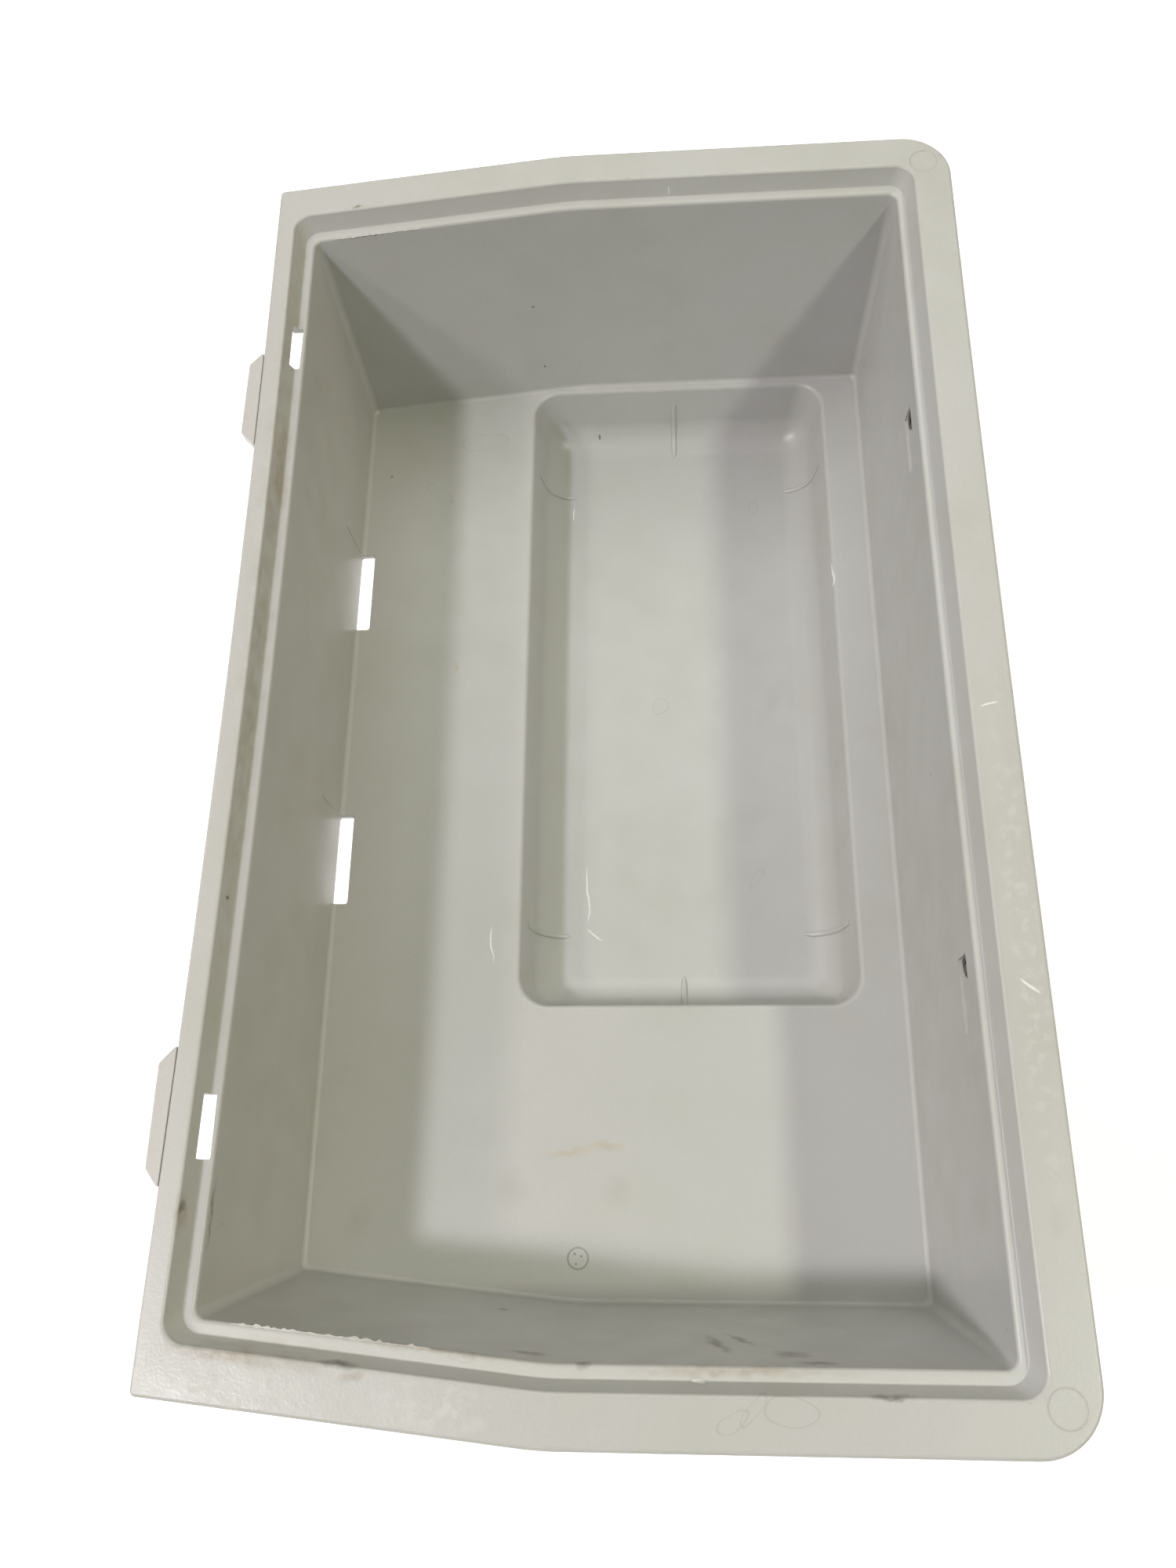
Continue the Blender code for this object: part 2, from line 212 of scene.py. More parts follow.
SMUDGES = (
    ((1, -207, 0), (9, 10, 3), (0, 0, 0)),
    ((-50, -206, 0), (9, 11, 3), (0, 0, 0)),
    ((-122, -221, 0), (9, 12, 3), (0, 0, -30)),
    ((87, 61, -38), (7, 20, 3), (0, 0, -25)),
    ((-150, 187, 99), (3, 5, 11), (0, 0, 0)),
    ((-149.5, 118, 98), (3, 7, 13), (0, 0, 0)),
    ((147.3, -217, 91), (3, 12, 18), (0, 0, 0)),
    ((147.4, -165, 102), (3, 9, 24), (0, 0, 0)),
    ((166, -223, 129), (4, 7, 3), (0, 0, 0)),
)
BROWN_STAINS = (
    ((-156, 115, 121), (5, 34, 5), (0, 0, 0)),
    ((-140, -270.5, 129), (24, 3, 3), (0, 0, -7)),
    ((-88, -276.8, 129), (6, 2.6, 3), (0, 0, 10)),
    ((-159, -222, 127), (3, 9, 5), (0, 0, 0)),
    ((50, -274, 119), (50, 2.5, 3), (0, 0, 0)),
    ((-60, -268, 119), (50, 2.5, 3), (0, 0, -5.8)),
    ((-128, 271.5, 128.8), (4, 1.6, 3), (0, 0, 5)),
)
SOIL_STREAKS = (
    ((44, -267.5, 83), (3.5, 4, 24), (0, 14, 0)),
    ((53, -266, 74), (2.4, 4, 15), (0, 25, 0)),
    ((71, -269, 100), (9, 3, 8), (0, -20, 0)),
    ((80, -271.5, 113), (9, 3, 3.2), (0, 0, 0)),
    ((-27, -270, 107), (11, 3, 4), (0, 0, 0)),
    ((-6, -273, 118), (3.4, 3, 3), (0, 0, 0)),
    ((-47, -258, 34), (3, 3, 3), (0, 0, 0)),
    ((-94.5, -273, 127.4), (9, 2, 3), (0, 0, -5)),
    ((102, -281, 127.6), (10, 1.4, 3), (0, 0, 0)),
    ((-159, -220, 127), (2, 3, 3), (0, 0, 0)),
    ((-151.2, -222, 116), (1.6, 15, 2), (0, 0, 0)),
    ((-128, 271.3, 128.8), (2.6, 1.2, 3), (0, 0, 5)),
)
LOOPS = (
    ((-79, 218, 0), (13, 5.5, 30), (0, 0, 8)),
    ((-104.5, 183, 0), (10, 3.6, 30), (0, 0, -38)),
    ((24, 60, -38), (4, 5, 30), (0, 0, 0)),
    ((82, 191, -38), (2.4, 4.4, 30), (0, 0, 0)),
    ((75, -44, -38), (6, 2, 30), (0, 0, 50)),
    ((47, -289.5, 129), (7, 2.6, 30), (0, 0, 28)),
    ((55, -285.6, 129), (6, 2.2, 30), (0, 0, 48)),
    ((68, -285.7, 129), (9, 5, 30), (0, 0, 0)),
    ((-50.6, -271.1, 120), (5, 1.9, 30), (0, 0, -5)),
    ((35.5, -277.4, 120), (2.6, 1.3, 30), (0, 0, 0)),
)
SCRATCHES = (
    ((-67.2, 258.6, 88), (0.7, 5, 9), (0, -3, 0)),
    ((-66.5, 261, 115), (0.4, 5, 14), (0, -3, 0)),
    ((-70.5, 255, 68), (0.6, 5, 5), (0, -6, 0)),
    ((-62.9, -88, 0), (0.6, 12, 3), (0, 0, 0)),
    ((-17.4, -52, -38), (0.5, 18, 3), (0, 0, 2)),
    ((-13, -75, -38), (0.5, 7, 3), (0, 0, 48)),
    ((-28, 190, -38), (0.5, 7, 3), (0, 0, 0)),
    ((120, 120, 0), (0.5, 14, 3), (0, 0, -1)),
    ((35.5, -277.4, 120), (2.6, 0.6, 3), (0, 0, 0)),
    ((33.8, 278.6, 123), (0.6, 2, 3), (0, 0, 0)),
    ((163, -19, 129), (4, 0.6, 3), (0, 0, 20)),
    ((166, -138, 129), (5, 0.7, 3), (0, 0, -35)),
)
SCUFFED_PLACES = (
    ((-128, -281, 129), (40, 15, 8), (0, 0, -6)),
    ((-57, -287, 129), (24, 10, 8), (0, 0, -6)),
    ((166, -110, 129), (8, 130, 8), (0, 0, 0)),
)
SPECKS = (
    ((-133.4, 195.9, 0), (0.8, 0.8, 2), (0, 0, 0)),
    ((-43.8, 262, 62), (0.9, 2, 0.9), (0, 0, 0)),
    ((-12, 242.4, -32), (0.8, 2, 2), (0, 0, 0)),
    ((-41.4, 256.3, 19), (0.8, 2, 0.8), (0, 0, 0)),
    ((-156.3, -97.4, 124.4), (2, 1, 1), (0, 0, 0)),
    ((146.3, -31.4, 82), (2, 0.9, 0.9), (0, 0, 0)),
    ((-19, -235, 0), (0.5, 0.5, 2), (0, 0, 0)),
    ((-16, -236, 0), (0.4, 0.6, 2), (0, 0, 0)),
    ((-18.4, -239.4, 0), (0.6, 0.4, 2), (0, 0, 0)),
)

# Torn fringes on the ledge: name, where they start and end along X, and at which end of the tray.
FRINGES = (("torn_fringe_far", -142 * MM, -96 * MM, 1), ("torn_fringe_near", -138 * MM, -62 * MM, -1))
FRINGE_STEP = 1.2 * MM
FRINGE_REACH = 0.9 * MM
FRINGE_LIFT = 0.4 * MM
FRINGE_SEED = 4

# How finely round shapes are cut.
CORNER_STEPS = 16
BEND_STEPS = 6
SIDE_STEPS = 20
ARC_STEPS = 5
FILLET_STEPS = 10
SMALL_ARC_STEPS = 3
RIB_STEPS = 8
SHARP_ANGLE = math.radians(32)

FLOOR_Z = TOP_Z - BASIN_DEPTH
LEDGE_Z = TOP_Z - REBATE_DEPTH
CUT_OVER = 1 * MM

# Painted shade: black in the deep ends of the pockets, short of the outside of the wall.
POCKET_END_SHADE = tuple(
    ((X_RIGHT / MM - 25.9, (y + length / 2) / MM, BASIN_DEPTH / MM - 26), (0.75, 9, 9), (0, 0, 0))
    for y, length in zip(POCKET_END_Y, POCKET_END_LENGTH))

# Camera and lights, placed from the middle of the rim.
RIM_MIDDLE = Vector(((X_LEFT + X_RIGHT) / 2, 0, TOP_Z))
CAMERA_OFFSET = Vector((27.7, -236.1, 483.8)) * MM
CAMERA_YAW = math.radians(10.89)
CAMERA_PITCH = math.radians(21.28)
CAMERA_ROLL = math.radians(-11.12)
CAMERA_LENS = 28.44
CAMERA_SENSOR = 36
FLOOR_HALF = 6
FLOOR_CLEARANCE = 0.05 * MM
GLOW_SPREAD = math.radians(50)

# Panels: name, sideways shift per height along X and Y, height, size, power and colour.
PANELS = (
    ("left_panel", -0.567, -0.375, 2.2, 0.22, 31, (0.96, 0.93, 1.0)),
    ("low_left_panel", -0.9, -0.4, 2.2, 0.22, 15.4, (1.0, 0.92, 0.80)),
    ("right_panel", 0.64, -0.3, 2.2, 0.22, 24, (0.95, 1.0, 0.82)),
    ("far_window", 0, 0.7, 1.8, 1.6, 16.5, (0.98, 1.0, 0.92)),
)

# Glows: name, the same two slopes, strength and colour.
GLOWS = (
    ("left_glow", -1.25, 0.2, 0.75, (1.0, 0.96, 0.86)),
    ("right_glow", 1.25, 0.2, 0.44, (1.0, 0.76, 0.42)),
)


# ---------------------------------------------------------------- shapes

def fillet(before, corner, after, radius, steps):
    """Points of an arc of this radius that rounds the corner between its two neighbours."""
    to_before = (before - corner).normalized()
    to_after = (after - corner).normalized()
    half = to_before.angle(to_after) / 2
    centre = corner + (to_before + to_after).normalized() * (radius / math.sin(half))
    start = corner + to_before * (radius / math.tan(half)) - centre
    turn = math.pi - 2 * half
    side = 1 if to_before.x * to_after.y - to_before.y * to_after.x < 0 else -1
    points = []
    for step in range(steps + 1):
        angle = side * turn * step / steps
        cosine, sine = math.cos(angle), math.sin(angle)
        points.append(centre + Vector((start.x * cosine - start.y * sine,
                                       start.x * sine + start.y * cosine)))
    return points


def bow_share(y):
    """How much of its bow a long side has here: all of it at mid length, none at its corners."""
    return max(0.0, 1 - (y / (HALF_LENGTH - CORNER_RIGHT_RADIUS)) ** 2)


def tray_outline(left, right, ends, bow, radius_right, radius_left):
    """Closed outline of the tray, inset by these amounts from the edge of the flange."""
    x_right, x_left = X_RIGHT - right, X_LEFT + left
    y_end = HALF_LENGTH - ends
    x_bend = END_BEND_X + ends * math.tan(END_BEND_ANGLE / 2)
    y_left = y_end - (x_bend - x_left) * math.tan(END_BEND_ANGLE)
    vertices = [Vector(v) for v in ((x_right, -y_end), (x_right, y_end), (x_bend, y_end),
                                    (x_left, y_left), (x_left, -y_left), (x_bend, -y_end))]
    radii = (radius_right, radius_right, END_BEND_RADIUS, radius_left, radius_left, END_BEND_RADIUS)
    steps = (CORNER_STEPS, CORNER_STEPS, BEND_STEPS, CORNER_STEPS, CORNER_STEPS, BEND_STEPS)
    points = []
    for i, vertex in enumerate(vertices):
        arc = fillet(vertices[i - 1], vertex, vertices[(i + 1) % 6], radii[i], steps[i])
        if i in (1, 4):
            start, end = points[-1], arc[0]
            points += [start.lerp(end, s / SIDE_STEPS) for s in range(1, SIDE_STEPS)]
        points += arc
    for point in points:
        side_bow = -BOW_RIGHT * point.x / x_right if point.x > 0 else BOW_LEFT * point.x / x_left
        point.x += bow * side_bow * bow_share(point.y)
    return points


def box_outline(x_low, x_high, y_low, y_high, radius):
    """Rounded rectangle, anticlockwise."""
    corners = [Vector(v) for v in ((x_high, y_low), (x_high, y_high), (x_low, y_high), (x_low, y_low))]
    points = []
    for i, corner in enumerate(corners):
        points += fillet(corners[i - 1], corner, corners[(i + 1) % 4], radius, CORNER_STEPS)
    return points


def quarter(radius, steps=ARC_STEPS):
    """Pairs (sideways, down) along a quarter circle that leaves flat and ends upright."""
    pairs = []
    for step in range(steps + 1):
        angle = math.pi / 2 * step / steps
        pairs.append((radius * math.sin(angle), radius * (1 - math.cos(angle))))
    return pairs


def quarter_up(radius, steps=ARC_STEPS):
    """The same quarter circle from its upright end to its flat one."""
    return list(reversed(quarter(radius, steps)))


def link(name, data):
    """A new object of this name in the scene."""
    obj = bpy.data.objects.new(name, data)
    bpy.context.collection.objects.link(obj)
    return obj


def skinned(name, loops, ring_shaped=False):
    """Closed solid through loops of equally many points: capped, or a ring that ends where it began."""
    mesh = bmesh.new()
    rings = [[mesh.verts.new(point) for point in loop] for loop in loops]
    following = rings[1:] + rings[:1] if ring_shaped else rings[1:]
    for low, high in zip(rings, following):
        for i in range(len(low)):
            j = (i + 1) % len(low)
            mesh.faces.new((low[i], low[j], high[j], high[i]))
    if not ring_shaped:
        mesh.faces.new(reversed(rings[0]))
        mesh.faces.new(rings[-1])
    bmesh.ops.recalc_face_normals(mesh, faces=mesh.faces)
    data = bpy.data.meshes.new(name)
    mesh.to_mesh(data)
    mesh.free()
    return link(name, data)


def loft(name, rings):
    """Closed solid through flat outlines of equal length, given from the lowest to the highest."""
    return skinned(name, [[(p.x, p.y, z) for p in points] for points, z in rings])


# ---------------------------------------------------------------- shell of the tray

def side_insets(station):
    """Insets of the left side, right side and ends at a named place on the tray's section."""
    rebate = REBATE_DRAFT if station != "rim" else 0
    left, right, ends = RIM_LEFT + rebate, RIM_RIGHT + rebate, RIM_ENDS + rebate
    if station in ("nose", "floor"):
        left, right, ends = left + LEDGE_LEFT, right + LEDGE_RIGHT, ends + LEDGE_ENDS
    if station == "floor":
        left, right, ends = left + LEAN_LEFT, right + LEAN_RIGHT, ends + LEAN_ENDS
    return left, right, ends


def tray_ring(station, z, shift, radius, bow=1.0):
    """Outline of the tray at a named place on its section, moved inwards by the shift, and its height."""
    left, right, ends = (inset + shift for inset in side_insets(station))
    return tray_outline(left, right, ends, bow, radius, radius), z


def flange_ring(z, inset):
    """Outline of the flange's own edge, inset by this much, and its height."""
    left_radius = CORNER_LEFT_RADIUS - min(inset, CORNER_LEFT_RADIUS / 2)
    return tray_outline(inset, inset, inset, 1.0, CORNER_RIGHT_RADIUS - inset, left_radius), z


def under_rings():
    """From the underside of the floor, up the outside, to the lower edge of the flange."""
    rings = []
    for sideways, down in quarter(FLOOR_FILLET):
        rings.append(tray_ring("floor", FLOOR_Z - WALL + down, FLOOR_FILLET - WALL - sideways,
                               FLOOR_CORNER_RADIUS + WALL, 0))
    rings.append(tray_ring("nose", LEDGE_Z - WALL, -WALL, NOSE_CORNER_RADIUS + WALL))
    for sideways, down in quarter(REBATE_FILLET, SMALL_ARC_STEPS):
        rings.append(tray_ring("foot", LEDGE_Z - WALL + down, REBATE_FILLET - WALL - sideways,
                               REBATE_RADIUS + WALL))
    rings.append(tray_ring("rim", TOP_Z - RIM_THICKNESS, -WALL, REBATE_RADIUS + WALL))
    for sideways, down in quarter(RIM_UNDER_RADIUS, SMALL_ARC_STEPS):
        rings.append(flange_ring(TOP_Z - RIM_THICKNESS + down, RIM_UNDER_RADIUS - sideways))
    return rings


def over_rings():
    """From the upper edge of the flange, over the rebate and the ledge, to the basin floor."""
    rings = []
    for sideways, down in quarter_up(RIM_EDGE_RADIUS):
        rings.append(flange_ring(TOP_Z - down, RIM_EDGE_RADIUS - sideways))
    for sideways, down in quarter(RIM_EDGE_RADIUS):
        rings.append(tray_ring("rim", TOP_Z - down, sideways - RIM_EDGE_RADIUS, REBATE_RADIUS))
    for sideways, down in quarter_up(REBATE_FILLET, SMALL_ARC_STEPS):
        rings.append(tray_ring("foot", LEDGE_Z + down, REBATE_FILLET - sideways, REBATE_RADIUS))
    for sideways, down in quarter(NOSE_RADIUS):
        rings.append(tray_ring("nose", LEDGE_Z - down, sideways - NOSE_RADIUS, NOSE_CORNER_RADIUS))
    for sideways, down in quarter_up(FLOOR_FILLET):
        rings.append(tray_ring("floor", FLOOR_Z + down, FLOOR_FILLET - sideways,
                               FLOOR_CORNER_RADIUS, 0))
    return rings


# ---------------------------------------------------------------- well

def well_place():
    """Low and high corner of the well's mouth."""
    left, right, ends = side_insets("floor")
    x_high = X_RIGHT - right - WELL_FROM_RIGHT
    y_high = HALF_LENGTH - ends - WELL_FROM_FAR
    return (x_high - WELL_WIDTH, y_high - WELL_LENGTH), (x_high, y_high)


def well_profile():
    """Pairs (inset, depth) down the wall of the well, from under its lip to its flat floor."""
    foot = WELL_DEPTH * math.tan(WELL_DRAFT)
    sweep = math.pi / 2 - WELL_DRAFT
    tangent = WELL_FILLET * math.tan(sweep / 2)
    pairs = [(0.0, 0.0)]
    for step in range(FILLET_STEPS + 1):
        angle = sweep * (1 - step / FILLET_STEPS)
        inset = foot + tangent - WELL_FILLET * math.sin(angle)
        pairs.append((inset, WELL_DEPTH - WELL_FILLET * (1 - math.cos(angle))))
    return pairs


def well_ring(inset, z, grow=0.0):
    """Outline of the well, inset from its mouth and then grown, and its height."""
    (x_low, y_low), (x_high, y_high) = well_place()
    radius = max(WELL_CORNER_RADIUS - inset / 2, WELL_CORNER_RADIUS / 2) + grow
    inset -= grow
    return box_outline(x_low + inset, x_high - inset, y_low + inset, y_high - inset, radius), z


def well_cavity():
    """What the well takes out of the floor, flared where its lip is rounded."""
    rings = [well_ring(inset, FLOOR_Z - depth) for inset, depth in well_profile()
             if depth > WELL_LIP_RADIUS]
    rings.reverse()
    for sideways, down in quarter_up(WELL_LIP_RADIUS):
        rings.append(well_ring(sideways - WELL_LIP_RADIUS, FLOOR_Z - down))
    rings.append(well_ring(-WELL_LIP_RADIUS, FLOOR_Z + CUT_OVER))
    return loft("cut_well", rings)


def well_casing():
    """The outside of the well, whose top lies inside the floor's thickness."""
    rings = [well_ring(inset, FLOOR_Z - WALL - depth, WALL) for inset, depth in well_profile()
             if depth > WALL]
    rings.reverse()
    rings.append(well_ring(0, FLOOR_Z - WALL / 2, WALL))
    return loft("join_well", rings)


def rib_sections(corner, inward):
    """Cross-sections down a half-round rib that fades in on the wall and ends rounded at its foot."""
    along = Vector((-inward.y, inward.x, 0))
    path = [pair for pair in well_profile() if pair[1] > RIB_TOP]
    path.insert(0, (RIB_TOP * math.tan(WELL_DRAFT), RIB_TOP))
    sections = []
    for i, (inset, depth) in enumerate(path):
        tilt = (math.pi / 2 - WELL_DRAFT) * max(0, i - 1) / (len(path) - 2) + WELL_DRAFT
        outward = inward * math.cos(tilt) + Vector((0, 0, math.sin(tilt)))
        place = corner + inward * inset - Vector((0, 0, depth))
        swell = math.sin(math.pi / 2 * min(1, (i + RIB_FADE_SECTIONS - 2) / RIB_FADE_SECTIONS))
        past = max(0, i - len(path) + 1 + RIB_TAIL_SECTIONS) / RIB_TAIL_SECTIONS
        tail = math.sqrt(max(0.1, 1 - past ** 2))
        half, height = RIB_WIDTH / 2 * tail, RIB_HEIGHT * swell * tail
        section = [place - along * half - outward * RIB_HEIGHT]
        for step in range(RIB_STEPS + 1):
            angle = math.pi * step / RIB_STEPS
            section.append(place - along * half * math.cos(angle) + outward * height * math.sin(angle))
        section.append(place + along * half - outward * RIB_HEIGHT)
        sections.append(section)
    return sections


def well_ribs():
    """Two ribs on each long wall of the well and one near the middle of each short wall."""
    (x_low, y_low), (x_high, y_high) = well_place()
    x_rib = x_low + RIB_FROM_LEFT
    places = [((x_rib, y_high), (0, -1)), ((x_rib, y_low), (0, 1))]
    for y in (y_high - RIB_FROM_FAR, y_low + RIB_FROM_NEAR):
        places += [((x_low, y), (1, 0)), ((x_high, y), (-1, 0))]
    for i, (corner, inward) in enumerate(places):
        sections = rib_sections(Vector((*corner, FLOOR_Z)), Vector((*inward, 0)))
        yield skinned(f"rib_{i}", sections)


# ---------------------------------------------------------------- slots, pockets and marks

def left_wall_x(z, y):
    """Where the left wall of the basin lies at this height, its bow fading out towards the floor."""
    share = (z - FLOOR_Z) / (LEDGE_Z - FLOOR_Z)
    return X_LEFT + side_insets("floor")[0] + (BOW_LEFT * bow_share(y) - LEAN_LEFT) * share


def right_wall_x(z, y):
    """Where the right wall of the basin lies at this height."""
    share = (z - FLOOR_Z) / (LEDGE_Z - FLOOR_Z)
    return X_RIGHT - side_insets("floor")[1] + (LEAN_RIGHT - BOW_RIGHT * bow_share(y)) * share


def ledge_slot_cutters():
    """Slots through the left ledge, one towards each end."""
    for i, y in enumerate((LEDGE_SLOT_Y, -LEDGE_SLOT_Y)):
        foot_x = X_LEFT + RIM_LEFT + REBATE_DRAFT + BOW_LEFT * bow_share(y)
        half = LEDGE_SLOT_LENGTH / 2
        outline = box_outline(foot_x - WALL - REBATE_DRAFT - CUT_OVER, foot_x + LEDGE_SLOT_ON_LEDGE,
                              y - half, y + half, SLOT_RADIUS / 2)
        yield loft(f"cut_ledge_slot_{i}", [(outline, LEDGE_Z - WALL - CUT_OVER),
                                           (outline, LEDGE_Z + LEDGE_SLOT_UP_WALL)])


def floor_slot_cutters():
    """Slots through the floor at the foot of the left wall, each with its recess in that wall."""
    for i, y in enumerate(FLOOR_SLOT_Y):
        half = FLOOR_SLOT_LENGTH / 2
        foot_x = left_wall_x(FLOOR_Z, y)
        rings = []
        for z, lip in ((FLOOR_Z - WALL - CUT_OVER, 0), (FLOOR_Z - SLOT_LIP, 0), (FLOOR_Z, SLOT_LIP),
                       (FLOOR_Z + FLOOR_FILLET, SLOT_LIP)):
            rings.append((box_outline(foot_x - RECESS_SINK, foot_x + FLOOR_SLOT_WIDTH + lip,
                                      y - half - lip, y + half + lip, SLOT_RADIUS), z))
        yield loft(f"cut_floor_slot_{i}", rings)
        rings = []
        for z in (FLOOR_Z + FLOOR_FILLET / 2, FLOOR_Z + RECESS_HEIGHT):
            wall_x = left_wall_x(z, y)
            rings.append((box_outline(wall_x - RECESS_SINK, wall_x + FLOOR_FILLET,
                                      y - half, y + half, RECESS_SINK / 2), z))
        yield loft(f"cut_recess_{i}", rings)


def pocket_cutters():
    """Shallow pockets in the right wall."""
    top_z = TOP_Z - POCKET_BELOW_RIM
    half = POCKET_LENGTH / 2
    for i, y in enumerate((POCKET_Y, -POCKET_Y)):
        rings = []
        for z in (top_z - POCKET_HEIGHT, top_z):
            wall_x = right_wall_x(z, y)
            rings.append((box_outline(wall_x - 3 * POCKET_SINK, wall_x + POCKET_SINK,
                                      y - half, y + half, POCKET_SINK / 2), z))
        yield loft(f"cut_pocket_{i}", rings)


def pocket_end_cutters():
    """The deep, three-cornered end of each pocket, upright at its near side."""
    top_z = TOP_Z - POCKET_BELOW_RIM
    low_z = top_z - POCKET_END_HEIGHT
    for i, (y, length) in enumerate(zip(POCKET_END_Y, POCKET_END_LENGTH)):
        loops = []
        for sink in (-CUT_OVER, POCKET_END_SINK):
            low_x, top_x = right_wall_x(low_z, y) + sink, right_wall_x(top_z, y) + sink
            loops.append([(low_x, y, low_z), (top_x, y + length, top_z), (top_x, y, top_z)])
        yield skinned(f"cut_pocket_end_{i}", loops)


def circle(x, y, radius):
    """Points round a full circle."""
    steps = 4 * CORNER_STEPS
    return [Vector((x + radius * math.cos(math.tau * step / steps),
                    y + radius * math.sin(math.tau * step / steps))) for step in range(steps)]


def disc_cutter(name, x, y, z_surface, radius, sink):
    """A shallow round dish with a softened edge."""
    return loft(name, [(circle(x, y, radius + grow), z) for z, grow in (
        (z_surface - sink, 0), (z_surface, sink), (z_surface + CUT_OVER, sink))])


def groove_cutter(name, x, y, z_surface, radius, width, sink):
    """A thin round groove."""
    outer, inner = circle(x, y, radius + width / 2), circle(x, y, radius - width / 2)
    over, under = z_surface + CUT_OVER, z_surface - sink
    loops = [[(point.x, point.y, z) for point in ring] for ring, z in (
        (outer, over), (outer, under), (inner, under), (inner, over))]
    return skinned(name, loops, ring_shaped=True)


def mould_marks():
    """Ejector dishes in the two wide corners of the flange, and the ring of the gate in the floor."""
    yield groove_cutter("cut_gate", *GATE_PLACE, FLOOR_Z, GATE_RADIUS, GATE_WIDTH, GATE_SINK)
    for i, side in enumerate((1, -1)):
        yield disc_cutter(f"cut_ejector_{i}", X_RIGHT - EJECTOR_FROM_RIGHT,
                          side * (HALF_LENGTH - EJECTOR_FROM_END), TOP_Z, EJECTOR_RADIUS, EJECTOR_SINK)


# ---------------------------------------------------------------- joining

def apply_booleans(obj, joined, cut):
    """Joins and cuts with exact booleans, keeps the result as the object's mesh, drops the helpers."""
    helpers = [(other, "UNION") for other in joined] + [(other, "DIFFERENCE") for other in cut]
    for other, operation in helpers:
        modifier = obj.modifiers.new(other.name, "BOOLEAN")
        modifier.object = other
        modifier.operation = operation
        modifier.solver = "EXACT"
    graph = bpy.context.evaluated_depsgraph_get()
    result = bpy.data.meshes.new_from_object(obj.evaluated_get(graph))
    obj.modifiers.clear()
    obj.data = result
    for other, _ in helpers:
        bpy.data.objects.remove(other, do_unlink=True)


def finish_surface(obj, material):
    """Smooth shading with crisp edges, where large flat faces keep their own flat normals."""
    obj.data.materials.clear()
    obj.data.materials.append(material)
    obj.data.shade_smooth()
    obj.data.set_sharp_from_angle(angle=SHARP_ANGLE)
    normals = obj.modifiers.new("flat faces stay flat", "WEIGHTED_NORMAL")
    normals.keep_sharp = True


def make_tray(material):
    tray = loft("tray_shell", under_rings() + over_rings())
    apply_booleans(tray, [well_casing()], [well_cavity()])
    cut = [*ledge_slot_cutters(), *floor_slot_cutters(), *pocket_cutters(), *pocket_end_cutters(),
           *mould_marks()]
    apply_booleans(tray, [], cut)
    finish_surface(tray, material)
    stand_for(tray, "tray_moulding")


def make_ribs(material):
    """The ribs, which stand on the well as pieces of their own."""
    for rib in well_ribs():
        finish_surface(rib, material)
        stand_for(rib, "tray_moulding")


def torn_fringe(name, x_start, x_end, side):
    """A torn fringe of plastic along the inner edge of the ledge, on one end of the tray."""
    chance = random.Random(FRINGE_SEED)
    steps = round((x_end - x_start) / FRINGE_STEP)
    _, _, ends = side_insets("nose")
    loops = []
    for step in range(steps + 1):
        x = x_start + (x_end - x_start) * step / steps
        nose_y = HALF_LENGTH - ends - (END_BEND_X - x) * math.tan(END_BEND_ANGLE)
        torn = FRINGE_REACH * chance.random() ** 2 if 0 < step < steps else 0
        lift = FRINGE_LIFT * chance.random()
        loops.append([(x, side * (nose_y + 0.8 * NOSE_RADIUS), LEDGE_Z - 0.2 * NOSE_RADIUS),
                      (x, side * (nose_y + 0.1 * NOSE_RADIUS), LEDGE_Z - 0.9 * NOSE_RADIUS),
                      (x, side * (nose_y - torn), LEDGE_Z - 0.4 * NOSE_RADIUS + lift)])
    return skinned(name, loops)


def make_fringes(material):
    """Both torn fringes."""
    for name, x_start, x_end, side in FRINGES:
        fringe = torn_fringe(name, x_start, x_end, side)
        finish_surface(fringe, material)
        stand_for(fringe, "tray_moulding")


def stand_for(piece, node):
    """Lets a finished piece ride the tray in place of this node."""
    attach(piece, "root")
    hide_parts(node)


def make_catch(name, node, y_middle, material):
    """A catch: a root under the flange and a tongue with sloping ends that stands out of its edge."""
    z_top, z_low = TOP_Z - CATCH_STEP, TOP_Z - CATCH_DEPTH
    z_under = TOP_Z - RIM_THICKNESS - FIT_GAP
    loops = []
    for along in (-CATCH_LENGTH / 2, -CATCH_TIP_LENGTH / 2, 0, CATCH_TIP_LENGTH / 2, CATCH_LENGTH / 2):
        y = y_middle + along
        edge_x = X_LEFT - FIT_GAP + BOW_LEFT * bow_share(y)
        tip_x = X_LEFT - CATCH_REACH if abs(along) < CATCH_LENGTH / 2 else edge_x - CATCH_END
        root_x = edge_x + RIM_LEFT - WALL
        loops.append([(tip_x, y, z_low), (root_x, y, z_low), (root_x, y, z_under),
                      (edge_x, y, z_under), (edge_x, y, z_top), (tip_x, y, z_top)])
    catch = skinned(name, loops)
    bevel = catch.modifiers.new("softened edges", "BEVEL")
    bevel.width = CATCH_EDGE
    bevel.segments = SMALL_ARC_STEPS
    bevel.limit_method = "ANGLE"
    bevel.angle_limit = SHARP_ANGLE
    finish_surface(catch, material)
    stand_for(catch, node)


# ---------------------------------------------------------------- materials

def linear(hex_colour):
    """sRGB hex to linear red, green, blue and full opacity."""
    channels = []
    for i in (0, 2, 4):
        value = int(hex_colour[i:i + 2], 16) / 255
        channels.append(value / 12.92 if value <= 0.04045 else ((value + 0.055) / 1.055) ** 2.4)
    return (*channels, 1)


